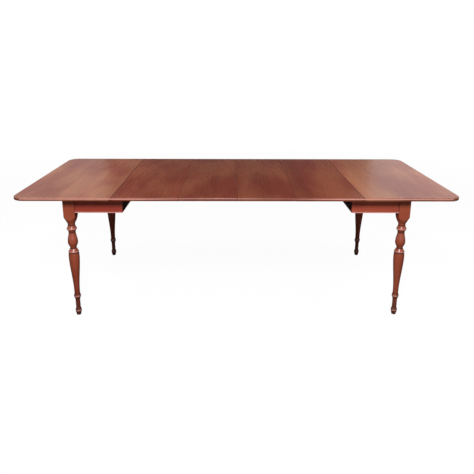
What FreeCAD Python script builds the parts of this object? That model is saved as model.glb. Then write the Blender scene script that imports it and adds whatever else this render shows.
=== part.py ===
import FreeCAD, Part
import math
import os

# Drop-leaf extension dining table, opened to its full length.
# Millimetres. X runs along the table, Y across it with -Y at the front, Z up.
# The origin is on the floor below the middle of the top.

Vec = FreeCAD.Vector

# Overall sizes
table_width = 1118.0
table_height = 749.3

# Boards of the top
top_thickness = 19.05
drop_leaf_length = 552.0
fixed_half_length = 372.0
extension_leaf_length = 326.0
leaf_corner_radius = 70.0
edge_round_over = 7.0
edge_round_under = 3.0
board_seam_gap = 0.3
board_seam_ease = 0.5
leaf_underside_relief = 0.3

# Rule joint between a fixed half and its drop leaf
rule_radius = 12.2
rule_step = 3.5
rule_gap = 1.2
rule_cove_clearance = 0.5
rule_edge_ease = 1.2
leaf_lift_degrees = 3.5

# Alignment pins between boards
table_pin_radius = 4.5
table_pin_reach = 14.0
table_pin_seat = 22.0
table_pin_clearance = 0.35
table_pin_edge_distance = 150.0

# Hinges of the drop leaves
hinge_width = 50.0
hinge_plate_thickness = 1.8
hinge_plate_recess = 0.45
hinge_knuckle_radius = 3.0
hinge_pin_radius = 1.5
hinge_pin_clearance = 0.05
hinge_knuckle_gap = 0.3
hinge_groove_clearance = 0.6
hinge_mortise_clearance = 0.3
hinge_short_plate = 32.0
hinge_long_plate = 72.0
hinge_edge_distance = 130.0
hinge_lift_clearance = 0.4

# Wood screws
screw_shank_radius = 1.9
screw_head_radius = 3.8
screw_head_depth = 2.2
screw_tip_length = 3.0
screw_hole_clearance = 0.1
hinge_screw_length = 13.0
hinge_screw_edge = 9.0
frame_screw_length = 34.0
frame_screw_counterbore = 4.6
frame_screw_bite = 14.0

# Leg frames
leg_square = 63.5
leg_from_end = 300.0
leg_from_side = 83.0
frame_end_from_hinge = 49.0
frame_top_clearance = 0.3
apron_depth = 84.0
apron_thickness = 20.0
apron_setback = 6.0
cross_rail_thickness = 22.0
frame_from_hanging_leaf = 31.25
leg_corner_flat = 14.0
leg_edge_radius = 1.5
glide_height = 2.0
glide_radius = 9.5
glide_nail_radius = 1.6
glide_nail_length = 16.0

# Height to which a leg is turned, near which its round part meets the square block
turned_height = 605.0

# Corner blocks, hanger bolts and glue blocks
corner_block_gap = 12.0
corner_block_thickness = 28.0
corner_block_margin = 9.0
hanger_bolt_radius = 4.0
hanger_bolt_clearance = 0.5
hanger_bolt_grip = 30.0
hanger_bolt_tail = 5.0
hanger_washer_radius = 10.0
hanger_washer_thickness = 2.0
hanger_nut_width = 13.0
hanger_nut_thickness = 6.5
glue_block_side = 24.0

# Slides
slide_set_from_side = 299.0
rail_width = 22.0
rail_depth = 38.0
rail_gap = 0.8
rail_running_clearance = 0.5
rail_end_from_hinge = 77.0
centre_rail_width = 32.0
centre_rail_extra_depth = 2.0
tongue_depth = 7.0
tongue_root_height = 11.0
tongue_tip_height = 17.0
tongue_clearance = 0.4
draw_apart_travel = 30.0
stop_pin_radius = 3.0
stop_pin_seat = 6.0
stop_pin_clearance = 0.3
stop_pin_from_end = 22.0
crossbar_thickness = 9.0
crossbar_width = 50.0
crossbar_from_rail_end = 95.0
cross_rail_pass_clearance = 2.0
runner_seat_inset = 1.0
runner_housing_depth = 6.0
runner_housing_clearance = 0.2
top_rail_screw_length = 40.0
top_rail_screw_counterbore = 9.0
top_rail_screw_edge = 34.0
crossbar_screw_length = 30.0

# Lengths by which a cutting solid runs past what it cuts
overrun = 2.0

# Places worked out from the sizes above
table_length = 2 * (drop_leaf_length + fixed_half_length + extension_leaf_length)
half_length = table_length / 2
half_width = table_width / 2
underside = table_height - top_thickness
hinge_line = half_length - drop_leaf_length
fixed_inner_edge = extension_leaf_length
slide_set_offset = half_width - slide_set_from_side
rail_half_closed = fixed_half_length - rail_end_from_hinge
crossbar_offset = rail_half_closed - crossbar_from_rail_end
leg_x = half_length - leg_from_end
leg_y = half_width - leg_from_side
frame_top = underside - frame_top_clearance
apron_bottom = frame_top - apron_depth
apron_face_y = leg_y + leg_square / 2 - apron_setback
apron_inner_y = apron_face_y - apron_thickness
end_rail_face_x = leg_x + leg_square / 2 - apron_setback
end_rail_inner_x = end_rail_face_x - apron_thickness
leg_inner_x = leg_x - leg_square / 2
leg_inner_y = leg_y - leg_square / 2
frame_inner_end = hinge_line - frame_end_from_hinge
frame_in_travel = end_rail_face_x - hinge_line + frame_from_hanging_leaf
hinge_axis_z = table_height - rule_step - rule_radius
rail_bottom = underside - rail_depth
centre_rail_bottom = rail_bottom - centre_rail_extra_depth
top_rail_offset = centre_rail_width / 2 + rail_gap + rail_width / 2
runner_offset = top_rail_offset + rail_width + rail_gap
tongue_height_z = underside - rail_depth / 2
top_rail_inner_x = extension_leaf_length - rail_half_closed
top_rail_outer_x = extension_leaf_length + rail_half_closed
runner_outer_x = end_rail_inner_x + runner_housing_depth - runner_housing_clearance
runner_inner_x = top_rail_inner_x + frame_in_travel
centre_stop_x = rail_half_closed - stop_pin_from_end
top_stop_x = top_rail_outer_x - stop_pin_from_end
table_pin_z = table_height - top_thickness / 2
table_pin_chamfer = table_pin_radius / 3
slide_set_rows = (-slide_set_offset, slide_set_offset)
plate_low = underside + hinge_plate_recess
plate_high = plate_low + hinge_plate_thickness
knuckle_half = hinge_width / 6
groove_reach = hinge_knuckle_radius + hinge_groove_clearance
plate_screw_row = hinge_width / 2 - hinge_screw_edge
short_screw_end = hinge_screw_edge - hinge_short_plate
long_screw_end = hinge_long_plate - hinge_screw_edge
short_plate_screws = (
    (short_screw_end, plate_screw_row),
    (short_screw_end, -plate_screw_row),
    ((hinge_knuckle_radius - hinge_short_plate) / 2, 0.0),
)
long_plate_screws = (
    (long_screw_end, plate_screw_row),
    (long_screw_end, -plate_screw_row),
    (hinge_long_plate / 2, 0.0),
)

# Planes across the corner at 45 degrees, by the sum of the distances out in x and y
corner_flat_sum = leg_inner_x + leg_inner_y + leg_corner_flat
block_outer_sum = corner_flat_sum - corner_block_gap * math.sqrt(2)
block_inner_sum = block_outer_sum - corner_block_thickness * math.sqrt(2)
corner_screw_place_share = 0.6
bolt_middle_z = (apron_bottom + frame_top) / 2
bolt_across = (leg_x - leg_y) / 2
outward = (1, -1, 0)

# Outline of a turned leg, from the foot up. Each entry is a kind and its points,
# as shares of the turned height and of half the leg's square.
foot_shares = (
    "curve",
    (0.017, 0.440),
    (0.028, 0.492),
    (0.039, 0.556),
    (0.050, 0.573),
    (0.061, 0.548),
    (0.072, 0.475),
    (0.083, 0.420),
)
shin_shares = ("line", (0.159, 0.416), (0.172, 0.446), (0.183, 0.494))
ankle_bead_shares = ("arc", (0.204, 0.638), (0.226, 0.530))
ankle_neck_shares = ("line", (0.238, 0.500))
shaft_shares = (
    "curve",
    (0.281, 0.510),
    (0.365, 0.600),
    (0.450, 0.748),
    (0.532, 0.886),
    (0.598, 0.959),
    (0.636, 0.952),
    (0.655, 0.926),
)
shaft_quirk_shares = ("line", (0.659, 0.885), (0.664, 0.885), (0.667, 0.922))
cap_rim_shares = ("arc", (0.672, 0.932), (0.677, 0.885))
cap_shares = ("curve", (0.686, 0.787), (0.696, 0.680), (0.706, 0.575))
vase_shares = (
    "curve",
    (0.717, 0.590),
    (0.727, 0.650),
    (0.740, 0.776),
    (0.755, 0.872),
    (0.772, 0.898),
    (0.790, 0.870),
    (0.810, 0.807),
    (0.831, 0.720),
    (0.849, 0.655),
    (0.863, 0.630),
)
bead_quirk_shares = ("line", (0.871, 0.630), (0.884, 0.680))
bead_shares = ("arc", (0.900, 0.886), (0.916, 0.790))
neck_shares = ("curve", (0.926, 0.700), (0.938, 0.648), (0.950, 0.645))
pommel_shares = (
    "curve",
    (0.960, 0.700),
    (0.975, 0.860),
    (0.992, 1.010),
    (1.008, 1.190),
    (1.020, 1.325),
    (1.030, 1.450),
)
leg_outline_shares = (
    foot_shares,
    shin_shares,
    ankle_bead_shares,
    ankle_neck_shares,
    shaft_shares,
    shaft_quirk_shares,
    cap_rim_shares,
    cap_shares,
    vase_shares,
    bead_quirk_shares,
    bead_shares,
    neck_shares,
    pommel_shares,
)
toe_radius_share = 0.400


def box(low, high):
    """A box between two corners."""
    size = Vec(*high) - Vec(*low)
    return Part.makeBox(size.x, size.y, size.z, Vec(*low))


def prism(points, along):
    """A straight prism over a closed outline of points, pushed out along a vector."""
    corners = [Vec(*p) for p in points]
    return Part.Face(Part.makePolygon(corners + corners[:1])).extrude(Vec(*along))


def rod(radius, start, direction, length):
    """A round rod from a point along a direction."""
    return Part.makeCylinder(radius, length, Vec(*start), Vec(*direction))


def group(solids):
    """Separate solids that share one node."""
    return Part.makeCompound([s for shape in solids for s in shape.Solids])


def turned_about(shape):
    """The same piece for the other end of the table, half a turn about the vertical."""
    copy = shape.copy()
    copy.rotate(Vec(0, 0, 0), Vec(0, 0, 1), 180)
    return copy


def mirrored(shape):
    """The same piece on the other side of the long middle plane."""
    return shape.mirror(Vec(0, 0, 0), Vec(0, 1, 0))


def rounded(shape, radius, chosen):
    """The shape with every edge that the test chooses rounded over."""
    return shape.makeFillet(radius, [edge for edge in shape.Edges if chosen(edge)])


def near(a, b):
    """Whether two lengths are the same but for rounding error."""
    return math.isclose(a, b, rel_tol=1e-6, abs_tol=1e-6 * table_length)


def long_board(x_low, x_high, bottom):
    """A board between two places along the table, its front and back edges rounded."""
    plank = box((x_low, -half_width, bottom), (x_high, half_width, table_height))

    def along_side(height):
        return lambda e: near(abs(e.CenterOfMass.y), half_width) and near(e.CenterOfMass.z, height)

    plank = rounded(plank, edge_round_over, along_side(table_height))
    return rounded(plank, edge_round_under, along_side(bottom))


def end_board(x_low):
    """A board from x_low to the end of the table, with round corners and three rounded sides."""
    plank = box((x_low, -half_width, underside), (half_length, half_width, table_height))

    def outer_corner(edge):
        middle = edge.CenterOfMass
        return near(middle.x, half_length) and near(abs(middle.y), half_width)

    def around(height):
        return lambda e: near(e.CenterOfMass.z, height) and not near(e.CenterOfMass.x, x_low)

    plank = rounded(plank, leaf_corner_radius, outer_corner)
    plank = rounded(plank, edge_round_over, around(table_height))
    return rounded(plank, edge_round_under, around(underside))


def seam_groove(seam_x, gap, ease):
    """A V cut along a seam, which takes the sharp top edge off the board at each side."""
    reach = gap / 2 + ease + overrun
    above = table_height + overrun
    corners = (
        (seam_x - reach, -table_width, above),
        (seam_x + reach, -table_width, above),
        (seam_x, -table_width, above - reach),
    )
    return prism(corners, (0, 2 * table_width, 0))


def board_groove(seam_x):
    """The V cut along a seam between two boards that butt together."""
    return seam_groove(seam_x, board_seam_gap, board_seam_ease)


def rule_groove():
    """The V cut along the seam of the rule joint."""
    return seam_groove(hinge_line + rule_gap / 2, rule_gap, rule_edge_ease)


def rule_cutter(radius, corners):
    """A cutter as wide as the table: the quarter round about the hinge axis, then corners."""
    diagonal = radius * math.sqrt(0.5)
    start = Vec(hinge_line, -table_width, hinge_axis_z + radius)
    middle = Vec(hinge_line + diagonal, -table_width, hinge_axis_z + diagonal)
    end = Vec(hinge_line + radius, -table_width, hinge_axis_z)
    places = [end] + [Vec(x, -table_width, z) for x, z in corners] + [start]
    runs = [Part.makeLine(a, b) for a, b in zip(places, places[1:])]
    outline = Part.Wire([Part.Arc(start, middle, end).toShape()] + runs)
    return Part.Face(outline).extrude(Vec(0, 2 * table_width, 0))


def screw(head, direction, length, grown=0.0):
    """A countersunk wood screw from the middle of its head; grown widens it into its hole."""
    shank = screw_shank_radius + grown
    tip_start = length - screw_tip_length
    corners = [
        Vec(0, 0, 0),
        Vec(screw_head_radius + grown, 0, 0),
        Vec(shank, 0, screw_head_depth),
        Vec(shank, 0, tip_start),
        Vec(0, 0, length + grown),
        Vec(0, 0, 0),
    ]
    body = Part.Face(Part.makePolygon(corners)).revolve(Vec(0, 0, 0), Vec(0, 0, 1), 360)
    body.Placement = FreeCAD.Placement(
        Vec(*head), FreeCAD.Rotation(Vec(0, 0, 1), Vec(*direction))
    )
    return body


def screws_at(places, length):
    """Screws at (head, direction) places."""
    return [screw(head, direction, length) for head, direction in places]


def screw_holes_at(places, length):
    """The holes that screws at (head, direction) places need."""
    return [screw(head, direction, length, screw_hole_clearance) for head, direction in places]


def counterbores_at(places, face):
    """Wide bores that sink upright screws' heads into a piece, from its lower face up."""
    return [
        rod(frame_screw_counterbore, (x, y, face - overrun), up, z - face + overrun)
        for (x, y, z), up in places
    ]


def cut_all(shape, cutters):
    """The shape with each cutter taken out of it."""
    for cutter in cutters:
        shape = shape.cut(cutter)
    return shape


def pin_rows():
    """Where the alignment pins sit across the table."""
    side = half_width - table_pin_edge_distance
    return (-side, 0.0, side)


def table_pins(seam_x, into):
    """Alignment pins across a seam, reaching into the board on the side given by into."""
    length = table_pin_seat + table_pin_reach
    start_x = seam_x - into * table_pin_seat
    tip_x = start_x + into * length
    pins = []
    for y in pin_rows():
        pin = rod(table_pin_radius, (start_x, y, table_pin_z), (into, 0, 0), length)
        tip = [e for e in pin.Edges if near(e.CenterOfMass.x, tip_x)]
        pins.append(pin.makeChamfer(table_pin_chamfer, tip))
    return pins


def pin_seats(seam_x, into):
    """Blind holes that hold the fixed ends of a row of alignment pins."""
    start_x = seam_x - into * table_pin_seat
    length = table_pin_seat + overrun
    return [rod(table_pin_radius, (start_x, y, table_pin_z), (into, 0, 0), length) for y in pin_rows()]


def pin_slots(seam_x, into):
    """Slots open at the underside, so that a board lifts straight off its pins."""
    radius = table_pin_radius + table_pin_clearance
    inner_end = seam_x + into * (table_pin_reach + table_pin_chamfer)
    low, high = sorted((seam_x - into * overrun, inner_end))
    slots = []
    for y in pin_rows():
        crown = rod(radius, (low, y, table_pin_z), (1, 0, 0), high - low)
        mouth = box((low, y - radius, underside - overrun), (high, y + radius, table_pin_z))
        slots.append(crown.fuse(mouth))
    return slots


def hinge_rows():
    """Where the hinges sit across the table."""
    side = half_width - hinge_edge_distance
    return (-side, 0.0, side)


def plate_screw_places(offsets):
    """Head and direction of each screw of one kind of plate, over all hinges."""
    return [
        ((hinge_line + x, row + y, plate_low), (0, 0, 1))
        for row in hinge_rows()
        for x, y in offsets
    ]


def knuckle(y_low, y_high, bore):
    """A stretch of hinge barrel with its bore."""
    barrel = rod(hinge_knuckle_radius, (hinge_line, y_low, hinge_axis_z), (0, 1, 0), y_high - y_low)
    hole_start = (hinge_line, y_low - overrun, hinge_axis_z)
    return barrel.cut(rod(bore, hole_start, (0, 1, 0), y_high - y_low + 2 * overrun))


def plate_between(x_low, x_high, y_low, y_high):
    """A flat stretch of hinge plate, clear of the pin's bore."""
    plate = box((x_low, y_low, plate_low), (x_high, y_high, plate_high))
    bore = hinge_pin_radius + hinge_pin_clearance
    return plate.cut(rod(bore, (hinge_line, y_low, hinge_axis_z), (0, 1, 0), y_high - y_low))


def short_plate(row):
    """The plate on the fixed half, with the two outer knuckles."""
    end = hinge_width / 2
    room = knuckle_half + hinge_knuckle_gap / 2
    plate = plate_between(hinge_line - hinge_short_plate, hinge_line - groove_reach, row - end, row + end)
    for low, high in ((row - end, row - room), (row + room, row + end)):
        arm = plate_between(hinge_line - groove_reach, hinge_line, low, high)
        plate = plate.fuse(arm).fuse(knuckle(low, high, hinge_pin_radius))
    plate = cut_all(plate, screw_holes_at(plate_screw_places(short_plate_screws), hinge_screw_length))
    return plate.removeSplitter()


def long_plate(row):
    """The plate on the drop leaf, with the middle knuckle."""
    end = hinge_width / 2
    half = knuckle_half - hinge_knuckle_gap / 2
    bore = hinge_pin_radius + hinge_pin_clearance
    plate = plate_between(hinge_line + groove_reach, hinge_line + hinge_long_plate, row - end, row + end)
    arm = plate_between(hinge_line, hinge_line + groove_reach, row - half, row + half)
    plate = plate.fuse(arm).fuse(knuckle(row - half, row + half, bore))
    plate = cut_all(plate, screw_holes_at(plate_screw_places(long_plate_screws), hinge_screw_length))
    return plate.removeSplitter()


def hinge_mortises(x_low, x_high, depth_z):
    """Recesses in the underside for one plate of every hinge."""
    side = hinge_width / 2 + hinge_mortise_clearance
    low_z = underside - overrun
    return [box((x_low, row - side, low_z), (x_high, row + side, depth_z)) for row in hinge_rows()]


def top_half():
    """The fixed board at the right, with the round of the rule joint at its outer edge."""
    round_edge = hinge_line + rule_radius
    board = long_board(fixed_inner_edge + board_seam_gap / 2, round_edge, underside)
    above = table_height + overrun
    beyond = round_edge + overrun
    corners = ((beyond, hinge_axis_z), (beyond, above), (hinge_line, above))
    lift_room = rule_radius * math.sin(math.radians(leaf_lift_degrees)) + hinge_lift_clearance
    short_end = hinge_line - hinge_short_plate - hinge_mortise_clearance
    groove_low = hinge_line - groove_reach
    groove_high = hinge_line + groove_reach
    cutters = [rule_cutter(rule_radius, corners), rule_groove(), board_groove(fixed_inner_edge)]
    cutters += hinge_mortises(groove_low, groove_high, hinge_axis_z + groove_reach)
    cutters += hinge_mortises(short_end, hinge_line, plate_high)
    cutters += hinge_mortises(hinge_line, beyond, plate_high + lift_room)
    cutters += pin_seats(fixed_inner_edge, -1)
    cutters += screw_holes_at(plate_screw_places(short_plate_screws), hinge_screw_length)
    cutters += screw_holes_at(top_rail_screw_places(), top_rail_screw_length)
    return cut_all(board, cutters)


def drop_leaf():
    """The right drop leaf, with the cove of the rule joint at its inner edge."""
    board = end_board(hinge_line + rule_gap)
    radius = rule_radius + rule_cove_clearance
    below = underside - overrun
    inside = hinge_line - overrun
    corners = ((hinge_line + radius, below), (inside, below), (inside, hinge_axis_z + radius))
    long_end = hinge_line + hinge_long_plate + hinge_mortise_clearance
    cutters = [rule_cutter(radius, corners), rule_groove()]
    cutters += hinge_mortises(hinge_line, long_end, plate_high)
    cutters += screw_holes_at(plate_screw_places(long_plate_screws), hinge_screw_length)
    return cut_all(board, cutters)


def right_extension_leaf():
    """The lift-out leaf right of the middle, slotted for the pins on both sides."""
    gap = board_seam_gap / 2
    board = long_board(gap, fixed_inner_edge - gap, underside + leaf_underside_relief)
    grooves = [board_groove(0.0), board_groove(fixed_inner_edge)]
    return cut_all(board, grooves + pin_slots(fixed_inner_edge, -1) + pin_slots(0.0, 1))


def left_extension_leaf():
    """The lift-out leaf left of the middle: slotted on its outer side, pinned on its inner."""
    gap = board_seam_gap / 2
    board = long_board(gap - fixed_inner_edge, -gap, underside + leaf_underside_relief)
    grooves = [board_groove(0.0), board_groove(-fixed_inner_edge)]
    return cut_all(board, grooves + pin_slots(-fixed_inner_edge, 1) + pin_seats(0.0, 1))


def tongue_half_height(distance):
    """Half the height of a slide's tongue at a distance from the face it stands on."""
    slope = (tongue_tip_height - tongue_root_height) / (rail_gap + tongue_depth) / 2
    return tongue_root_height / 2 + slope * distance


def tongue(face_y, toward, x_low, x_high, slot_low, slot_high):
    """A dovetail tongue on a rail's face, with the slot that its stop pin runs in."""
    reach = rail_gap + tongue_depth
    root = tongue_half_height(0.0)
    tip = tongue_half_height(reach)
    tip_y = face_y + toward * reach
    corners = (
        (x_low, face_y, tongue_height_z - root),
        (x_low, tip_y, tongue_height_z - tip),
        (x_low, tip_y, tongue_height_z + tip),
        (x_low, face_y, tongue_height_z + root),
    )
    slot_half = stop_pin_radius + stop_pin_clearance
    y_low, y_high = sorted((face_y, tip_y + toward * overrun))
    slot = box(
        (slot_low, y_low, tongue_height_z - slot_half),
        (slot_high, y_high, tongue_height_z + slot_half),
    )
    return prism(corners, (x_high - x_low, 0, 0)).cut(slot)


def groove(face_y, toward, x_low, x_high):
    """The dovetail groove for a neighbour's tongue, cut inwards from a rail's face."""
    depth = tongue_depth + tongue_clearance
    mouth = tongue_half_height(rail_gap - overrun) + tongue_clearance
    floor = tongue_half_height(rail_gap + depth) + tongue_clearance
    mouth_y = face_y - toward * overrun
    floor_y = face_y + toward * depth
    corners = (
        (x_low - overrun, mouth_y, tongue_height_z - mouth),
        (x_low - overrun, floor_y, tongue_height_z - floor),
        (x_low - overrun, floor_y, tongue_height_z + floor),
        (x_low - overrun, mouth_y, tongue_height_z + mouth),
    )
    return prism(corners, (x_high - x_low + 2 * overrun, 0, 0))


def stop_pin(x, face_y, toward):
    """A peg across a groove, from its seat in the web to the rail's face."""
    depth = tongue_depth + tongue_clearance + stop_pin_seat
    return rod(stop_pin_radius, (x, face_y, tongue_height_z), (0, toward, 0), depth)


def centre_rail(set_y):
    """The middle rail of a set, grooved on both sides."""
    half = centre_rail_width / 2
    top = underside - rail_running_clearance
    low = (-rail_half_closed, set_y - half, centre_rail_bottom)
    cutters = screw_holes_at(crossbar_screw_places(), crossbar_screw_length)
    for side in (-1, 1):
        face_y = set_y + side * half
        cutters.append(groove(face_y, -side, -rail_half_closed, rail_half_closed))
        cutters.append(stop_pin(side * centre_stop_x, face_y, -side))
    return cut_all(box(low, (rail_half_closed, set_y + half, top)), cutters)


def centre_stop_pins():
    """The pegs of both centre rails, one in each groove."""
    half = centre_rail_width / 2
    return [
        stop_pin(side * centre_stop_x, set_y + side * half, -side)
        for set_y in slide_set_rows
        for side in (-1, 1)
    ]


def crossbar_screw_places():
    """Heads of the screws that hold the crossbars up to the centre rails."""
    head_z = centre_rail_bottom - crossbar_thickness
    quarter = crossbar_width / 4
    return [
        ((bar_x + side * quarter, set_y, head_z), (0, 0, 1))
        for bar_x in (-crossbar_offset, crossbar_offset)
        for side in (-1, 1)
        for set_y in slide_set_rows
    ]


def crossbar(bar_x):
    """A slat across the two centre rails."""
    end = slide_set_offset + centre_rail_width / 2
    half = crossbar_width / 2
    low = (bar_x - half, -end, centre_rail_bottom - crossbar_thickness)
    bar = box(low, (bar_x + half, end, centre_rail_bottom))
    return cut_all(bar, screw_holes_at(crossbar_screw_places(), crossbar_screw_length))


def top_rail_screw_places():
    """Heads of the screws that hold the right top rails up to the fixed half."""
    first = fixed_inner_edge + top_rail_screw_edge
    last = top_rail_outer_x - top_rail_screw_edge
    return [
        ((x, set_y + top_rail_offset, rail_bottom + top_rail_screw_counterbore), (0, 0, 1))
        for set_y in slide_set_rows
        for x in (first, (first + last) / 2, last)
    ]


def top_rail(set_y):
    """A right top rail: grooved for the runner, tongued into the centre rail."""
    middle = set_y + top_rail_offset
    half = rail_width / 2
    slot_low = centre_stop_x - stop_pin_radius - draw_apart_travel - stop_pin_clearance
    slot_high = centre_stop_x + stop_pin_radius + extension_leaf_length + stop_pin_clearance
    low = (top_rail_inner_x, middle - half, rail_bottom)
    rail = box(low, (top_rail_outer_x, middle + half, underside))
    rail = rail.fuse(tongue(middle - half, -1, top_rail_inner_x, top_rail_outer_x, slot_low, slot_high))
    places = top_rail_screw_places()
    cutters = [groove(middle + half, -1, top_rail_inner_x, top_rail_outer_x)]
    cutters.append(stop_pin(top_stop_x, middle + half, -1))
    cutters += screw_holes_at(places, top_rail_screw_length) + counterbores_at(places, rail_bottom)
    return cut_all(rail, cutters).removeSplitter()


def runner(set_y):
    """A right frame runner, tongued into the top rail."""
    middle = set_y + runner_offset
    half = rail_width / 2
    top = underside - rail_running_clearance
    slot_low = top_stop_x - stop_pin_radius - stop_pin_clearance
    slot_high = top_stop_x + stop_pin_radius + frame_in_travel + stop_pin_clearance
    rail = box((runner_inner_x, middle - half, rail_bottom), (runner_outer_x, middle + half, top))
    tongue_end = end_rail_inner_x - runner_housing_clearance
    rail = rail.fuse(tongue(middle - half, -1, runner_inner_x, tongue_end, slot_low, slot_high))
    rail = cut_all(rail, screw_holes_at(runner_screw_places(), frame_screw_length))
    return rail.removeSplitter()


def runner_screw_places():
    """Heads of the screws that hold the right runners down on the cross rail."""
    middle_x = frame_inner_end + cross_rail_thickness / 2
    head_z = rail_bottom + frame_screw_bite - frame_screw_length
    return [
        ((middle_x, set_y + runner_offset, head_z), (0, 0, 1))
        for set_y in slide_set_rows
    ]


def cross_rail():
    """The inner rail of the right frame, cut low where the slides pass over it."""
    low = centre_rail_bottom - crossbar_thickness - cross_rail_pass_clearance
    seat_half = rail_width / 2 - runner_seat_inset
    shoulder = slide_set_offset + runner_offset + rail_width / 2 + cross_rail_pass_clearance
    back_seat = slide_set_offset + runner_offset
    front_seat = runner_offset - slide_set_offset
    outline = (
        (-apron_inner_y, apron_bottom),
        (apron_inner_y, apron_bottom),
        (apron_inner_y, frame_top),
        (shoulder, frame_top),
        (shoulder, rail_bottom),
        (back_seat - seat_half, rail_bottom),
        (back_seat - seat_half, low),
        (front_seat + seat_half, low),
        (front_seat + seat_half, rail_bottom),
        (front_seat - seat_half, rail_bottom),
        (front_seat - seat_half, low),
        (-shoulder, low),
        (-shoulder, frame_top),
        (-apron_inner_y, frame_top),
    )
    rail = prism([(frame_inner_end, y, z) for y, z in outline], (cross_rail_thickness, 0, 0))
    places = runner_screw_places()
    cutters = screw_holes_at(places, frame_screw_length) + counterbores_at(places, apron_bottom)
    return cut_all(rail, cutters)


def end_rail():
    """The outer rail of the right frame, between its legs, housed for the runners."""
    low = (end_rail_inner_x, -leg_inner_y, apron_bottom)
    rail = box(low, (end_rail_face_x, leg_inner_y, frame_top))
    half = rail_width / 2 + runner_housing_clearance
    housing_end = end_rail_inner_x + runner_housing_depth
    for set_y in slide_set_rows:
        middle = set_y + runner_offset
        low = (end_rail_inner_x - overrun, middle - half, rail_bottom)
        rail = rail.cut(box(low, (housing_end, middle + half, frame_top + overrun)))
    holes = front_corner_holes()
    return cut_all(rail, holes + [mirrored(hole) for hole in holes])


def front_apron():
    """The front apron of the right frame, from its inner end to the leg."""
    low = (frame_inner_end, -apron_face_y, apron_bottom)
    return cut_all(box(low, (leg_inner_x, -apron_inner_y, frame_top)), front_corner_holes())


def on_diagonal(total):
    """The place on the right front bolt's axis where x plus the distance out in y is total."""
    return (total / 2 + bolt_across, bolt_across - total / 2, bolt_middle_z)


def corner_screw_places():
    """Heads of the screws of the right front corner block, into the apron and the end rail."""
    along = block_inner_sum + corner_screw_place_share * (block_outer_sum - block_inner_sum)
    sink = frame_screw_bite - frame_screw_length
    into_apron = ((along - apron_inner_y, -(apron_inner_y + sink), bolt_middle_z), (0, -1, 0))
    into_rail = ((end_rail_inner_x + sink, -(along - end_rail_inner_x), bolt_middle_z), (1, 0, 0))
    return [into_apron, into_rail]


def front_corner_holes():
    """Holes for the screws of the right front corner block."""
    return screw_holes_at(corner_screw_places(), frame_screw_length)


def hanger_bolt(radius):
    """A bolt from the inside of the right front corner block into the leg."""
    inside = (hanger_washer_thickness + hanger_nut_thickness + hanger_bolt_tail) * math.sqrt(2)
    start = block_inner_sum - inside
    length = (corner_flat_sum - start) / math.sqrt(2) + hanger_bolt_grip
    return rod(radius, on_diagonal(start), outward, length)


def corner_block():
    """The diagonal block in the right front corner."""
    low = apron_bottom + corner_block_margin
    outline = (
        (block_outer_sum - apron_inner_y, -apron_inner_y, low),
        (block_inner_sum - apron_inner_y, -apron_inner_y, low),
        (end_rail_inner_x, end_rail_inner_x - block_inner_sum, low),
        (end_rail_inner_x, end_rail_inner_x - block_outer_sum, low),
    )
    block = prism(outline, (0, 0, frame_top - corner_block_margin - low))
    cutters = [hanger_bolt(hanger_bolt_radius + hanger_bolt_clearance)] + front_corner_holes()
    for head, direction in corner_screw_places():
        back = [-part for part in direction]
        cutters.append(rod(frame_screw_counterbore, head, back, corner_block_thickness))
    return cut_all(block, cutters)


def washer_and_nut():
    """The washer and the hexagon nut on the right front hanger bolt."""
    washer_start = block_inner_sum - hanger_washer_thickness * math.sqrt(2)
    washer = rod(hanger_washer_radius, on_diagonal(washer_start), outward, hanger_washer_thickness)
    corner = hanger_nut_width / math.sqrt(3)
    turns = [math.radians(60 * step) for step in range(6)]
    hexagon = [(corner * math.cos(a), corner * math.sin(a), 0) for a in turns]
    nut = prism(hexagon, (0, 0, hanger_nut_thickness))
    nut_start = washer_start - hanger_nut_thickness * math.sqrt(2)
    to_diagonal = FreeCAD.Rotation(Vec(0, 0, 1), Vec(*outward))
    nut.Placement = FreeCAD.Placement(Vec(*on_diagonal(nut_start)), to_diagonal)
    bolt = hanger_bolt(hanger_bolt_radius)
    return [washer.cut(bolt), nut.cut(bolt)]


def glue_block():
    """The block in the corner between the right cross rail and the front apron."""
    inner_x = frame_inner_end + cross_rail_thickness
    outer_x = inner_x + glue_block_side
    low = (inner_x, -apron_inner_y, apron_bottom + corner_block_margin)
    return box(low, (outer_x, glue_block_side - apron_inner_y, frame_top - corner_block_margin))


def leg_outline():
    """Edges of a leg's half outline in the XZ plane, from the foot to the top of its block."""
    half = leg_square / 2
    last = Vec(toe_radius_share * half, 0, glide_height)
    edges = [Part.makeLine(Vec(0, 0, glide_height), last)]
    for kind, *shares in leg_outline_shares:
        places = [Vec(wide * half, 0, high * turned_height) for high, wide in shares]
        if kind == "line":
            edges += [Part.makeLine(a, b) for a, b in zip([last] + places, places)]
        elif kind == "arc":
            edges.append(Part.Arc(last, *places).toShape())
        else:
            curve = Part.BSplineCurve()
            curve.interpolate([last] + places)
            edges.append(curve.toShape())
        last = places[-1]
    shoulder = Vec(last.x, 0, frame_top)
    middle = Vec(0, 0, frame_top)
    corners = [last, shoulder, middle, Vec(0, 0, glide_height)]
    return edges + [Part.makeLine(a, b) for a, b in zip(corners, corners[1:])]


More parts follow.
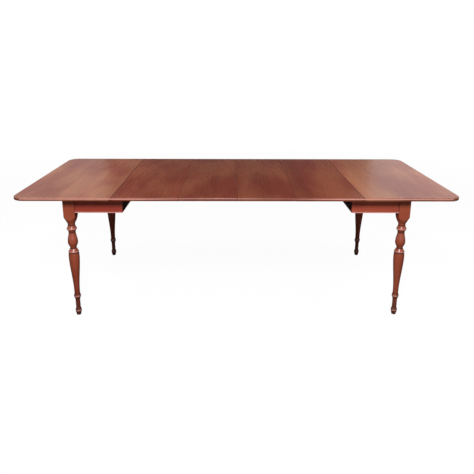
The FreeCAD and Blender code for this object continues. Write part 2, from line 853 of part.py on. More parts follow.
def leg():
    """The right front leg: a turned outline cut to a square block, flat at its inner corner."""
    half = leg_square / 2
    turned = Part.Face(Part.Wire(leg_outline())).revolve(Vec(0, 0, 0), Vec(0, 0, 1), 360)
    block = box((-half, -half, 0), (half, half, frame_top))
    block = rounded(block, leg_edge_radius, lambda e: near(e.CenterOfMass.z, frame_top / 2))
    shape = turned.common(block)
    shape.translate(Vec(leg_x, -leg_y, 0))
    near_x = leg_inner_x - overrun
    near_y = leg_inner_y - overrun
    low = apron_bottom + corner_block_margin
    flat = (
        (near_x, -near_y, low),
        (corner_flat_sum - near_y, -near_y, low),
        (near_x, near_x - corner_flat_sum, low),
    )
    shape = shape.cut(prism(flat, (0, 0, frame_top + overrun - low)))
    shape = shape.cut(hanger_bolt(hanger_bolt_radius))
    return shape.cut(glide())


def glide():
    """The nail-on glide under the right front leg."""
    disc = rod(glide_radius, (leg_x, -leg_y, 0), (0, 0, 1), glide_height)
    nail = rod(glide_nail_radius, (leg_x, -leg_y, 0), (0, 0, 1), glide_height + glide_nail_length)
    return disc.fuse(nail).removeSplitter()


def both(shape):
    """A front piece and its mirror image at the back."""
    return [shape, mirrored(shape)]


def right_end():
    """Every piece of the right end of the table, by name."""
    hinge_pins = [
        rod(hinge_pin_radius, (hinge_line, row - hinge_width / 2, hinge_axis_z), (0, 1, 0), hinge_width)
        for row in hinge_rows()
    ]
    groove_face = top_rail_offset + rail_width / 2
    stops = [stop_pin(top_stop_x, set_y + groove_face, -1) for set_y in slide_set_rows]
    corner_screws = screws_at(corner_screw_places(), frame_screw_length)
    runner_screws = screws_at(runner_screw_places(), frame_screw_length)
    short_screws = screws_at(plate_screw_places(short_plate_screws), hinge_screw_length)
    long_screws = screws_at(plate_screw_places(long_plate_screws), hinge_screw_length)
    apron = front_apron()
    front_leg = leg()
    return {
        "top_half": top_half(),
        "table_pins": group(table_pins(fixed_inner_edge, -1)),
        "front_top_rail": top_rail(-slide_set_offset),
        "back_top_rail": top_rail(slide_set_offset),
        "top_rail_screws": group(screws_at(top_rail_screw_places(), top_rail_screw_length)),
        "runner_stop_pins": group(stops),
        "hinge_top_plates": group([short_plate(row) for row in hinge_rows()]),
        "hinge_pins": group(hinge_pins),
        "hinge_top_screws": group(short_screws),
        "drop_leaf": drop_leaf(),
        "hinge_leaf_plates": group([long_plate(row) for row in hinge_rows()]),
        "hinge_leaf_screws": group(long_screws),
        "front_leg": front_leg,
        "back_leg": mirrored(front_leg),
        "front_apron": apron,
        "back_apron": mirrored(apron),
        "end_rail": end_rail(),
        "cross_rail": cross_rail(),
        "front_runner": runner(-slide_set_offset),
        "back_runner": runner(slide_set_offset),
        "corner_blocks": group(both(corner_block())),
        "frame_screws": group(corner_screws + [mirrored(s) for s in corner_screws] + runner_screws),
        "glue_blocks": group(both(glue_block())),
        "hanger_bolts": group(both(hanger_bolt(hanger_bolt_radius))),
        "hanger_nuts": group([side for piece in washer_and_nut() for side in both(piece)]),
        "foot_glides": group(both(glide())),
    }


def other_end(name):
    """The name that a piece of the right end has at the left, where front and back change over."""
    if name.startswith("front_"):
        return name.replace("front_", "back_", 1)
    return name.replace("back_", "front_", 1)


def pieces():
    """Every piece of the table, by node name."""
    made = {
        "front_centre_rail": centre_rail(-slide_set_offset),
        "back_centre_rail": centre_rail(slide_set_offset),
        "centre_stop_pins": group(centre_stop_pins()),
        "crossbars": group([crossbar(-crossbar_offset), crossbar(crossbar_offset)]),
        "crossbar_screws": group(screws_at(crossbar_screw_places(), crossbar_screw_length)),
        "left_extension_leaf": left_extension_leaf(),
        "right_extension_leaf": right_extension_leaf(),
        "extension_leaf_pins": group(table_pins(0.0, 1)),
    }
    for name, shape in right_end().items():
        made["right_" + name] = shape
        made["left_" + other_end(name)] = turned_about(shape)
    return made


os.makedirs("parts", exist_ok=True)
for node, shape in pieces().items():
    shape.exportStep("parts/" + node + ".step")
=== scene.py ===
import math

import bmesh
import bpy
from bpy.props import FloatProperty, FloatVectorProperty, PointerProperty
from mathutils import Matrix, Vector


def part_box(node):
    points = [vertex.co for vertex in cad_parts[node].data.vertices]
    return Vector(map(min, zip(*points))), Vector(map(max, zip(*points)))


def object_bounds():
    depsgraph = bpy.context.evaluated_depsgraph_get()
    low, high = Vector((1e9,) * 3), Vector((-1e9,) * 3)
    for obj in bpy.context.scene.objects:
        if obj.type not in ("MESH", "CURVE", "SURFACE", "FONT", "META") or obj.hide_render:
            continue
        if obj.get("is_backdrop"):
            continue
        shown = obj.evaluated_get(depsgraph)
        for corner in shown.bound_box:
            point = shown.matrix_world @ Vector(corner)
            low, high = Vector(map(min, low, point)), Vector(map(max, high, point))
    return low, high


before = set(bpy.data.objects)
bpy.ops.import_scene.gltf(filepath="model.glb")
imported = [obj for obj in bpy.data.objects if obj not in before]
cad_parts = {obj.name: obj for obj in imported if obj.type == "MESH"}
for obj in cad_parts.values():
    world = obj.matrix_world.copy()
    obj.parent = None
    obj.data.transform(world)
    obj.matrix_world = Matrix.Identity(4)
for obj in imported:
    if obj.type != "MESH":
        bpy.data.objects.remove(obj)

# Looks of a drop-leaf extension dining table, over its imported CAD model.
# Metres. X runs along the table, Y to the back, Z up, with the floor at zero.

bl_info = {
    "name": "Extension table looks",
    "version": (1, 0, 0),
    "blender": (4, 5, 0),
    "location": "3D Viewport > Sidebar > Table",
    "description": "Dresses a drop-leaf extension dining table and sets its studio",
    "category": "Object",
}

SIDES = ("left", "right")
ENDS = ("front", "back")

# Directions of the grain, as the angles that turn a piece's own direction onto a pattern's Z
ALONG_X = (0.0, math.radians(-90), 0.0)
ALONG_Y = (math.radians(90), 0.0, 0.0)
ALONG_Z = (0.0, 0.0, 0.0)

# Growth rings in a metre, and how far they wander
RINGS = 95.0
RING_WANDER = 0.03

# Cells of noise in a metre, both ways across the grain and along it
WANDER_CELLS = (7.0, 7.0, 1.6)
FIBRE_CELLS = (380.0, 380.0, 4.0)
PORE_CELLS = (950.0, 950.0, 60.0)
PATCH_CELLS = (5.0, 5.0, 1.7)

# Late wood darkens over the first part of a ring and ends over the second
LATE_WOOD_RISE = (0.35, 0.93)
LATE_WOOD_FALL = (0.94, 1.0)

# Values of their noise between which pores, pale fibres and red patches come in
PORE_ONSET = (0.63, 0.72)
FIBRE_ONSET = (0.35, 0.75)
RED_ONSET = (0.36, 0.64)

# Strips that the top's boards are glued up from: their width, the shares of it from a strip's
# middle between which the glue line comes in, and how far along the grain, at most, the figure of
# a strip is shifted
STRIP_WIDTH = 0.108
GLUE_LINE = (0.492, 0.499)
STRIPS_APART = 7.0

# How far the heart of a strip's log lies from the strip's middle, least and most: across the
# strip, and square to the board
HEART_ACROSS = (-0.045, 0.045)
HEART_THROUGH = (0.02, 0.09)

# The strips of a board start at one of so many steps across it, taken from their draw
START_STEPS = 8
START_STEP = 0.013

# For each board of the top, the draw of its strips' tones and that of its patches of colour
BOARD_DRAWS = {
    "left_drop_leaf": (238, 37.0),
    "left_top_half": (147, 25.8),
    "left_extension_leaf": (379, 5.0),
    "right_extension_leaf": (379, 16.1),
    "right_top_half": (265, 58.1),
    "right_drop_leaf": (185, 59.4),
}

# Draws of the legs' patches of colour: left front, left back, right front, right back
LEG_DRAWS = (2, 1, 5, 3)

# Where the pattern's centre lies from a piece's middle. A leg's third part is times its draw, so
# that each leg has a stretch of its own.
LEG_HEART = Vector((0.05, 0.03, 0.37))
APRON_HEART = Vector((0.0, 0.06, 0.0))
RAIL_HEART = Vector((0.06, 0.0, 0.0))
SLIDE_HEART = Vector((0.0, 0.05, 0.02))

# The pattern's centre for small pieces that share one
CROSSBAR_HEART = (0.03, 0.0, 0.6)
BLOCK_HEART = (0.02, 0.01, 0.0)
PIN_HEART = (0.0, 0.03, 0.7)

# Lacquered cherry. A shade multiplies a colour, as one number or as three for red, green and
# blue. Late wood, fibres and pores each have a strength and a shade.
PALE_PATCH = 1.14
RED_PATCH = (0.8, 0.54, 0.66)
STRIP_TONES = (0.83, 1.19)
GLUE_STRENGTH = 0.4
GLUE_SHADE = 0.4
CHERRY_MARKS = ((0.14, (0.56, 0.42, 0.42)), (0.08, (1.3, 1.4, 1.3)), (0.14, 0.35))
# Shade of the painted shade in seams, grooves, joints and edges, and of the legs' darkening
# towards the floor
DARKENING_SHADE = 0.12
FIBRE_ROUGHNESS = 0.03
# Roughness added where highlights are painted
HIGHLIGHT_ROUGHNESS = 0.45

# Bare maple and birch, the same way
MAPLE_MARKS = ((0.45, 0.68), (0.4, 1.15), (0.4, 0.5))
MAPLE_ROUGHNESS = (0.55, 0.75)
MAPLE_SHINE = 0.25

# Strength and height of the relief of fibres and pores
CHERRY_RELIEF = (0.07, 0.0004)
MAPLE_RELIEF = (0.3, 0.0005)

# Plated steel: the cells in a metre of its clouds and scratches, the values of their noise
# between which the clouds clear and the scratches come in, and their shades
CLOUD_CELLS = (90.0, 90.0, 90.0)
CLOUD_ONSET = (0.35, 0.7)
CLOUD_SHADE = 0.8
CLOUD_ROUGHNESS = (0.28, 0.46)
SCRATCH_CELLS = (60.0, 1800.0, 600.0)
SCRATCH_ONSET = (0.6, 0.75)
SCRATCH_STRENGTH = 0.3
SCRATCH_SHADE = 0.55

# Shades of the steel that screws, and bolts and stop pins, are made of
SCREW_SHADE = 0.8
BOLT_SHADE = 0.9

# Nylon and its scuffs, the same way
SCUFF_CELLS = (700.0, 700.0, 700.0)
SCUFF_ONSET = (0.5, 0.75)
SCUFF_STRENGTH = 0.5
SCUFF_SHADE = 1.8
SCUFF_ROUGHNESS = (0.45, 0.7)

# Values of their noise between which steel and nylon grow duller
ROUGHNESS_ONSET = (0.3, 0.7)

# Heights of a leg's grooves, where shade is painted dark, and of its rings and its cap, where
# highlights are painted pale
LEG_QUIRKS = (0.012, 0.052, 0.110, 0.138, 0.400, 0.428, 0.526, 0.568)
LEG_CRESTS = (0.031, 0.124, 0.546)
LEG_CAP = (0.407,)

# Bands of painted shade and of painted highlight: how far each reaches to both sides, and its
# strength
HINGE_SEAM_SHADE = (0.0034, 0.7)
INNER_SEAM_SHADE = (0.0024, 0.6)
QUIRK_SHADE = (0.006, 0.85)
CREST_HIGHLIGHT = (0.0036, 0.9)
CAP_HIGHLIGHT = (0.004, 0.5)
LEG_JOINT_SHADE = (0.004, 0.8)
LOW_EDGE_HIGHLIGHT = (0.008, 0.8)

# Share of its reach at which a band still has its full strength
BAND_CORE = 0.35

# Legs darker towards the floor: the heights over which the darkening fades, and its strength at
# the floor
DARKENING_HEIGHTS = (0.0, 0.2)
DARKENING_STRENGTH = 0.78

# Painted highlight along the top's front edge, a pale line. Inwards from the edge, and to both
# sides of the line's middle, it is full up to the first distance and gone at the second.
LINE_INWARD = (0.0015, 0.004)
LINE_HALF_WIDTH = (0.0012, 0.0036)

# Depth of the line's middle below the top's face, and the distances from the table's middle over
# which the line grows from the first strength to the second
LINE_DEPTH = 0.007
LINE_GROWTH = (0.25, 0.6)
LINE_STRENGTHS = (0.15, 0.95)

# Painted shade along the top's other edges: how far outside the outline it begins and is full,
# how far to the front that outline is taken, which keeps the front edge clear, and its strength
RIM_REACH = (-0.02, 0.014)
RIM_FORWARD = 0.016
RIM_STRENGTH = 0.65

# Floor paper: its colour to the light that falls back on the table and its colour where it is
# seen. Its glow blends it into the background, and grows over some distances from the middle.
PAPER_UNSEEN = (0.16, 0.16, 0.16)
PAPER_SEEN = (0.6, 0.6, 0.6)
PAPER_ROUGHNESS = 0.95
GLOW_SHARE = 0.92
GLOW_DISTANCES = (2.5, 7.0)
GLOW_LEVELS = (1.05, 1.085)
FLOOR_SIDES = 96

# Cards that only reflections see: centre, width and height, tilt, and brightness
UPRIGHT = math.radians(90)
FLAT = 0.0
CARD_COLOUR = (0.02, 0.02, 0.02, 1.0)
CARDS = {
    "rear card": ((0.06, 3.0, 2.3), (3.32, 2.6), UPRIGHT, 0.0),
    "left card": ((-3.6, 3.0, 2.3), (4.0, 2.6), UPRIGHT, 0.4),
    "right card": ((3.72, 3.0, 2.3), (4.0, 2.6), UPRIGHT, 0.78),
    "floor mat": ((0.0, 0.0, 0.004), (14.0, 14.0), FLAT, 0.0),
}

# Lights: place, what they are turned to, and width and height
KEY_LIGHT = ((-0.2, -3.3, 3.1), (0.0, -0.5, 0.6), (0.5, 1.0))
FRONT_LIGHT = ((0.2, -2.6, 1.1), (0.0, -0.5, 0.5), (0.4, 0.4))
END_LIGHTS = (
    ((-1.7, 0.2, 2.0), (-1.0, 0.0, 0.7), (0.8, 1.2)),
    ((1.7, 0.2, 2.0), (1.0, 0.0, 0.7), (0.8, 1.2)),
)

# Shares of their power that the end lights give, left and right
END_SHARES = (0.95, 1.0)

# Camera: its place, how far it is turned to the right, tipped down and rolled, in radians, and
# how its picture is shifted, as a share of its width
CAMERA_PLACE = (-0.03778, -3.2549, 1.49805)
CAMERA_TURN = 0.01273
CAMERA_TIP = 0.26676
CAMERA_ROLL = 0.00468
CAMERA_SHIFT = -0.0865
SENSOR_MILLIMETRES = 36


def srgb(red, green, blue):
    """A colour given as it is seen, 0 to 255, as the numbers that a shader takes."""
    def linear(part):
        part /= 255
        return part / 12.92 if part <= 0.04045 else ((part + 0.055) / 1.055) ** 2.4

    return (linear(red), linear(green), linear(blue))


class TableLooks(bpy.types.PropertyGroup):
    """Colours and finish of the table."""

    top_colour: FloatVectorProperty(
        name="Top", description="Colour of the lacquered boards of the top",
        subtype="COLOR", size=3, min=0, max=1, default=srgb(127, 69, 48),
    )
    # Painted light: the drop leaves' colour is made paler than the top's, for the brighter light
    # on them
    leaf_colour_with_painted_light: FloatVectorProperty(
        name="Drop leaves", description="Colour of the lacquered drop leaves",
        subtype="COLOR", size=3, min=0, max=1, default=srgb(147, 92, 66),
    )
    frame_colour: FloatVectorProperty(
        name="Aprons", description="Colour of the lacquered aprons and end rails",
        subtype="COLOR", size=3, min=0, max=1, default=srgb(171, 82, 60),
    )
    leg_colour: FloatVectorProperty(
        name="Legs", description="Colour of the lacquered legs",
        subtype="COLOR", size=3, min=0, max=1, default=srgb(154, 75, 52),
    )
    # Colour of the painted highlights on the top's front edge, the legs' rings and cap and the
    # aprons' low edges
    highlight_colour: FloatVectorProperty(
        name="Painted highlights", description="Colour where edges and rings are rubbed thin",
        subtype="COLOR", size=3, min=0, max=1, default=srgb(224, 162, 150),
    )
    # Painted shade: the cross rails' colour is made dark for the shade they stand in
    rail_colour_with_painted_shade: FloatVectorProperty(
        name="Cross rails", description="Colour of the shade-painted rails at the inner ends",
        subtype="COLOR", size=3, min=0, max=1, default=srgb(76, 38, 28),
    )
    bare_colour: FloatVectorProperty(
        name="Slides and blocks", description="Colour of the bare hardwood under the top",
        subtype="COLOR", size=3, min=0, max=1, default=srgb(186, 158, 120),
    )
    steel_colour: FloatVectorProperty(
        name="Hinges and screws", description="Colour of the plated hinges, screws and bolts",
        subtype="COLOR", size=3, min=0, max=1, default=srgb(176, 170, 160),
    )
    glide_colour: FloatVectorProperty(
        name="Glides", description="Colour of the nylon glides under the feet",
        subtype="COLOR", size=3, min=0, max=1, default=srgb(62, 54, 48),
    )
    # The painted shade along the top's back and side edges follows these corners
    corner_radius: FloatProperty(
        name="Corner radius", description="Radius of the corners that the top's glaze follows",
        min=0.01, max=0.3, default=0.07, subtype="DISTANCE", unit="LENGTH",
    )
    top_shine: FloatProperty(
        name="Shine of the top", description="Level of the reflections in the top's lacquer",
        min=0, max=1, default=0.27, subtype="FACTOR",
    )
    frame_shine: FloatProperty(
        name="Shine of the frame", description="Level of the reflections in the frame's lacquer",
        min=0, max=1, default=0.5, subtype="FACTOR",
    )
    lacquer_roughness: FloatProperty(
        name="Lacquer roughness", description="How dull the lacquer is",
        min=0.05, max=1, default=0.28, subtype="FACTOR",
    )


class StudioLooks(bpy.types.PropertyGroup):
    """Light, floor and lens of the studio."""

    key_power: FloatProperty(
        name="Key light", description="Power of the small light above the camera",
        min=0, default=145, subtype="POWER", unit="POWER",
    )
    front_power: FloatProperty(
        name="Front light", description="Power of the weak light in front, below the camera",
        min=0, default=4, subtype="POWER", unit="POWER",
    )
    end_power: FloatProperty(
        name="End lights", description="Power of each of the lights over the table's ends",
        min=0, default=18, subtype="POWER", unit="POWER",
    )
    fill_level: FloatProperty(
        name="Fill level", description="Brightness of the light that comes from all round",
        min=0, max=2, default=0.1,
    )
    lens: FloatProperty(
        name="Lens", description="Focal length on a sensor 36 mm wide",
        min=0.01, default=38.63, subtype="DISTANCE_CAMERA",
    )
    floor_radius: FloatProperty(
        name="Floor radius", description="How far the floor reaches from the table",
        min=3, default=18, subtype="DISTANCE", unit="LENGTH",
    )


# Node helpers

def new_material(name):
    """An empty node material, with its nodes, its links and its surface shader."""
    material = bpy.data.materials.new(name)
    material.use_nodes = True
    tree = material.node_tree
    tree.nodes.clear()
    shader = tree.nodes.new("ShaderNodeBsdfPrincipled")
    output = tree.nodes.new("ShaderNodeOutputMaterial")
    tree.links.new(shader.outputs["BSDF"], output.inputs["Surface"])
    return material, tree, shader


def fill(tree, socket, value):
    """Links a socket to another, or sets it to a value."""
    if isinstance(value, bpy.types.NodeSocket):
        tree.links.new(value, socket)
    else:
        socket.default_value = value


def maths(tree, operation, first, second=0.0, third=0.0):
    """The result of a Math node."""
    node = tree.nodes.new("ShaderNodeMath")
    node.operation = operation
    for socket, value in zip(node.inputs, (first, second, third)):
        fill(tree, socket, value)
    return node.outputs["Value"]


def vector_maths(tree, operation, first, second=(0.0, 0.0, 0.0)):
    """The result of a Vector Math node: a number for a length, else a vector."""
    node = tree.nodes.new("ShaderNodeVectorMath")
    node.operation = operation
    fill(tree, node.inputs[0], first)
    fill(tree, node.inputs[1], second)
    return node.outputs["Value" if operation == "LENGTH" else "Vector"]


def split(tree, vector):
    """The three parts of a vector, by axis."""
    node = tree.nodes.new("ShaderNodeSeparateXYZ")
    tree.links.new(vector, node.inputs["Vector"])
    return node.outputs


def joined(tree, x, y, z):
    """A vector made from three numbers."""
    node = tree.nodes.new("ShaderNodeCombineXYZ")
    for socket, value in zip(node.inputs, (x, y, z)):
        fill(tree, socket, value)
    return node.outputs["Vector"]


def moved(tree, vector, scale=(1.0, 1.0, 1.0), turn=(0.0, 0.0, 0.0), shift=(0.0, 0.0, 0.0)):
    """A vector scaled, then turned, then shifted."""
    node = tree.nodes.new("ShaderNodeMapping")
    node.inputs["Scale"].default_value = scale
    node.inputs["Rotation"].default_value = turn
    node.inputs["Location"].default_value = shift
    tree.links.new(vector, node.inputs["Vector"])
    return node.outputs["Vector"]


def noise(tree, vector, cells, detail=3.0, roughness=0.55, shift=(0.0, 0.0, 0.0)):
    """Noise with so many cells in a metre along each axis, drawn elsewhere by a shift."""
    node = tree.nodes.new("ShaderNodeTexNoise")
    tree.links.new(moved(tree, vector, scale=cells, shift=shift), node.inputs["Vector"])
    node.inputs["Scale"].default_value = 1.0
    node.inputs["Detail"].default_value = detail
    node.inputs["Roughness"].default_value = roughness
    return node.outputs["Fac"]


def spread(tree, value, low, high, new_low=0.0, new_high=1.0):
    """A value carried smoothly from one range to another."""
    node = tree.nodes.new("ShaderNodeMapRange")
    node.interpolation_type = "SMOOTHSTEP"
    node.inputs["From Min"].default_value = low
    node.inputs["From Max"].default_value = high
    node.inputs["To Min"].default_value = new_low
    node.inputs["To Max"].default_value = new_high
    tree.links.new(value, node.inputs["Value"])
    return node.outputs["Result"]


def between(tree, value, low, high):
    """A value from 0 to 1 carried evenly to a range."""
    return maths(tree, "MULTIPLY_ADD", value, high - low, low)


def strongest(tree, masks):
    """The highest of several masks."""
    total = masks[0]
    for mask in masks[1:]:
        total = maths(tree, "MAXIMUM", total, mask)
    return total


def mixed(tree, factor, first, second):
    """Two colours mixed."""
    node = tree.nodes.new("ShaderNodeMix")
    node.data_type = "RGBA"
    fill(tree, node.inputs["Factor"], factor)
    for name, colour in (("A", first), ("B", second)):
        socket = [s for s in node.inputs if s.name == name and s.type == "RGBA"][0]
        fill(tree, socket, colour if isinstance(colour, bpy.types.NodeSocket) else (*colour, 1.0))
    return [s for s in node.outputs if s.type == "RGBA"][0]


def scaled(tree, colour, amount):
    """A colour times a number."""
    node = tree.nodes.new("ShaderNodeVectorMath")
    node.operation = "SCALE"
    fill(tree, node.inputs[0], colour)
    fill(tree, node.inputs["Scale"], amount)
    return node.outputs["Vector"]


def shaded(colour, shade):
    """A colour times a shade, with no part above 1."""
    shares = shade if isinstance(shade, tuple) else (shade, shade, shade)
    return tuple(min(part * share, 1.0) for part, share in zip(colour, shares))


def object_place(tree):
    """Object coordinates."""
    return tree.nodes.new("ShaderNodeTexCoord").outputs["Object"]


def along_grain(tree, place, grain, centre):
    """A place taken from a centre, and turned so that the grain runs along Z."""
    centred = moved(tree, place, shift=[-part for part in centre])
    return moved(tree, centred, turn=grain)


# Node groups

def new_group(name, numbers, results):
    """An empty node group that takes a vector and some numbers, with its inner ends' sockets."""
    tree = bpy.data.node_groups.new(name, "ShaderNodeTree")
    tree.interface.new_socket("Vector", in_out="INPUT", socket_type="NodeSocketVector")
    for label, default in numbers.items():
        socket = tree.interface.new_socket(label, in_out="INPUT", socket_type="NodeSocketFloat")
        socket.default_value = default
    for label in results:
        tree.interface.new_socket(label, in_out="OUTPUT", socket_type="NodeSocketFloat")
    start, end = tree.nodes.new("NodeGroupInput"), tree.nodes.new("NodeGroupOutput")
    return tree, start.outputs, end.inputs


def place_group(tree, name, values):
    """The outputs of a group placed in a tree, with its values set or linked."""
    node = tree.nodes.new("ShaderNodeGroup")
    node.node_tree = bpy.data.node_groups[name]
    for label, value in values.items():
        fill(tree, node.inputs[label], value)
    return node.outputs


def make_figure_group():
    """Growth rings, fibres and pores of solid wood, its grain along the vector's Z."""
    numbers = {"Rings": RINGS, "Wander": RING_WANDER}
    tree, given, results = new_group("wood figure", numbers, ("Ring", "Fibre", "Pore"))
    slow = noise(tree, given["Vector"], WANDER_CELLS)
    wander = maths(tree, "MULTIPLY", maths(tree, "SUBTRACT", slow, 0.5), given["Wander"])
    across = vector_maths(tree, "LENGTH", moved(tree, given["Vector"], scale=(1.0, 1.0, 0.0)))
    rings = maths(tree, "MULTIPLY", maths(tree, "ADD", across, wander), given["Rings"])
    within = maths(tree, "FRACT", rings)
    rise = spread(tree, within, *LATE_WOOD_RISE)
    fall = spread(tree, within, *LATE_WOOD_FALL, 1.0, 0.0)
    fleck = noise(tree, given["Vector"], PORE_CELLS, detail=1.0, roughness=0.5)
    tree.links.new(maths(tree, "MULTIPLY", rise, fall), results["Ring"])
    tree.links.new(noise(tree, given["Vector"], FIBRE_CELLS), results["Fibre"])
    tree.links.new(spread(tree, fleck, *PORE_ONSET), results["Pore"])


def make_strips_group():
    """Strips of wood glued side by side: each one's tone and figure, and the line between two.

    X runs across the strips, Y through the board, and Z along the grain.
    """
    numbers = {"Width": STRIP_WIDTH, "Seed": 0.0}
    marks = ("Ring", "Fibre", "Pore")
    tree, given, results = new_group("glued strips", numbers, ("Tone", "Line", *marks))
    parts = split(tree, given["Vector"])
    strips = maths(tree, "DIVIDE", parts["X"], given["Width"])
    within = maths(tree, "SUBTRACT", maths(tree, "FRACT", strips), 0.5)
    chance = tree.nodes.new("ShaderNodeTexWhiteNoise")
    chance.noise_dimensions = "2D"
    which = joined(tree, maths(tree, "FLOOR", strips), given["Seed"], 0.0)
    tree.links.new(which, chance.inputs["Vector"])
    drawn = tree.nodes.new("ShaderNodeSeparateColor")
    tree.links.new(chance.outputs["Color"], drawn.inputs["Color"])
    aside = between(tree, drawn.outputs["Green"], *HEART_ACROSS)
    apart = between(tree, drawn.outputs["Blue"], *HEART_THROUGH)
    across = maths(tree, "MULTIPLY_ADD", within, given["Width"], aside)
    through = maths(tree, "ADD", parts["Y"], apart)
    along = maths(tree, "MULTIPLY_ADD", drawn.outputs["Red"], STRIPS_APART, parts["Z"])
    heart = joined(tree, across, through, along)
    figure = place_group(tree, "wood figure", {"Vector": heart})
    line = spread(tree, maths(tree, "ABSOLUTE", within), *GLUE_LINE)
    tree.links.new(drawn.outputs["Red"], results["Tone"])
    tree.links.new(line, results["Line"])
    for mark in marks:
        tree.links.new(figure[mark], results[mark])


# Masks of painted shade, of darkening towards the floor and of painted highlights, as functions
# of a tree and a place

def bands(axis, places, reach, strength):
    """A mask function: bands at some distances from zero along an axis."""
    def mask(tree, place):
        distance = maths(tree, "ABSOLUTE", split(tree, place)[axis])
        masks = []
        for where in places:
            away = maths(tree, "ABSOLUTE", maths(tree, "SUBTRACT", distance, where))
            masks.append(spread(tree, away, reach * BAND_CORE, reach, strength, 0.0))
        return strongest(tree, masks)

    return mask


def overlaid(*masks):
    """A mask function: the strongest of several."""
    def mask(tree, place):
        return strongest(tree, [part(tree, place) for part in masks])

    return mask


def darker_towards_floor(tree, place):
    """A mask that darkens the legs towards the floor."""
    return spread(tree, split(tree, place)["Z"], *DARKENING_HEIGHTS, DARKENING_STRENGTH, 0.0)


def painted_edge_highlight(tree, place):
    """A mask of a painted highlight: a pale line along the top's front edge."""
    low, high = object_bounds()
    parts = split(tree, place)
    edge = [low.y + inward for inward in LINE_INWARD]
    outer = spread(tree, parts["Y"], *edge, 1.0, 0.0)
    height = maths(tree, "SUBTRACT", parts["Z"], high.z - LINE_DEPTH)
    line = spread(tree, maths(tree, "ABSOLUTE", height), *LINE_HALF_WIDTH, 1.0, 0.0)
    distance = maths(tree, "ABSOLUTE", parts["X"])
    worn = spread(tree, distance, *LINE_GROWTH, *LINE_STRENGTHS)
    return maths(tree, "MULTIPLY", maths(tree, "MULTIPLY", outer, line), worn)


def painted_edge_shade(tree, place):
    """A mask of painted shade along the top's back and side edges.

    It grows with the distance from the inner rectangle that the rounded outline follows.
    """
    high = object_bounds()[1]
    corner = bpy.context.scene.table_looks.corner_radius
    shifted = moved(tree, place, shift=(0.0, RIM_FORWARD, 0.0))
    inner = (high.x - corner, high.y - corner, 0.0)
    past = vector_maths(tree, "SUBTRACT", vector_maths(tree, "ABSOLUTE", shifted), inner)
    level = moved(tree, vector_maths(tree, "MAXIMUM", past), scale=(1.0, 1.0, 0.0))
    reach = [corner + out for out in RIM_REACH]
    return spread(tree, vector_maths(tree, "LENGTH", level), *reach, 0.0, RIM_STRENGTH)


# Materials

def figured(tree, surface, colour, figure, marks):
    """A surface with late wood, fibres and pores laid over it, as their marks say."""
    masks = (figure["Ring"], spread(tree, figure["Fibre"], *FIBRE_ONSET), figure["Pore"])
    for mask, (strength, shade) in zip(masks, marks):
        factor = maths(tree, "MULTIPLY", mask, strength)
        surface = mixed(tree, factor, surface, shaded(colour, shade))
    return surface


def set_wood(tree, shader, surface, dull, shine, figure, relief):
    """Sets a wood's colour, roughness and shine, and the relief of its fibres and pores."""
    fill(tree, shader.inputs["Base Color"], surface)
    fill(tree, shader.inputs["Roughness"], dull)
    shader.inputs["Specular IOR Level"].default_value = shine
    bump = tree.nodes.new("ShaderNodeBump")
    bump.inputs["Strength"].default_value, bump.inputs["Distance"].default_value = relief
    height = maths(tree, "SUBTRACT", figure["Fibre"], figure["Pore"])
    tree.links.new(height, bump.inputs["Height"])
    tree.links.new(bump.outputs["Normal"], shader.inputs["Normal"])


def lacquered(name, colour, grain, centre, shine, drift, darkening, painted_highlight, strips=None):
    """Satin-lacquered cherry, its grain along one axis and its pattern centred on a place.

    shine is the level of its reflections, and drift the draw of its slow patches of colour.
    darkening is the mask function of its painted shade and of its darkening towards the floor,
    and painted_highlight that of its painted highlights. strips is the draw of tones where it is
    glued up from strips.
    """
    looks = bpy.context.scene.table_looks
    material, tree, shader = new_material(name)
    place = object_place(tree)
    turned = along_grain(tree, place, grain, centre)
    patches = spread(tree, noise(tree, turned, PATCH_CELLS, shift=(drift, 0.0, 0.0)), *RED_ONSET)
    surface = mixed(tree, patches, shaded(colour, PALE_PATCH), shaded(colour, RED_PATCH))
    if strips is None:
        figure = place_group(tree, "wood figure", {"Vector": turned})
    else:
        figure = place_group(tree, "glued strips", {"Vector": turned, "Seed": strips})
        surface = scaled(tree, surface, between(tree, figure["Tone"], *STRIP_TONES))
        seam = maths(tree, "MULTIPLY", figure["Line"], GLUE_STRENGTH)
        surface = mixed(tree, seam, surface, shaded(colour, GLUE_SHADE))
    surface = figured(tree, surface, colour, figure, CHERRY_MARKS)
    even = looks.lacquer_roughness
    dull = between(tree, figure["Fibre"], even - FIBRE_ROUGHNESS, even + FIBRE_ROUGHNESS)
    # Painted shade, and the darkening towards the floor, where the darkening mask says
    darkened = darkening(tree, place)
    surface = mixed(tree, darkened, surface, shaded(colour, DARKENING_SHADE))
    dull = maths(tree, "MAXIMUM", dull, darkened)
    # Painted highlights, paler and duller
    highlighted = painted_highlight(tree, place)
    surface = mixed(tree, highlighted, surface, looks.highlight_colour)
    dull = maths(tree, "MULTIPLY_ADD", highlighted, HIGHLIGHT_ROUGHNESS, dull)
    set_wood(tree, shader, surface, dull, shine, figure, CHERRY_RELIEF)
    return material


def bare_wood(name, colour, grain, centre):
    """Planed hardwood without a finish."""
    material, tree, shader = new_material(name)
    turned = along_grain(tree, object_place(tree), grain, centre)
    figure = place_group(tree, "wood figure", {"Vector": turned})
    surface = figured(tree, colour, colour, figure, MAPLE_MARKS)
    dull = between(tree, figure["Fibre"], *MAPLE_ROUGHNESS)
    set_wood(tree, shader, surface, dull, MAPLE_SHINE, figure, MAPLE_RELIEF)
    return material


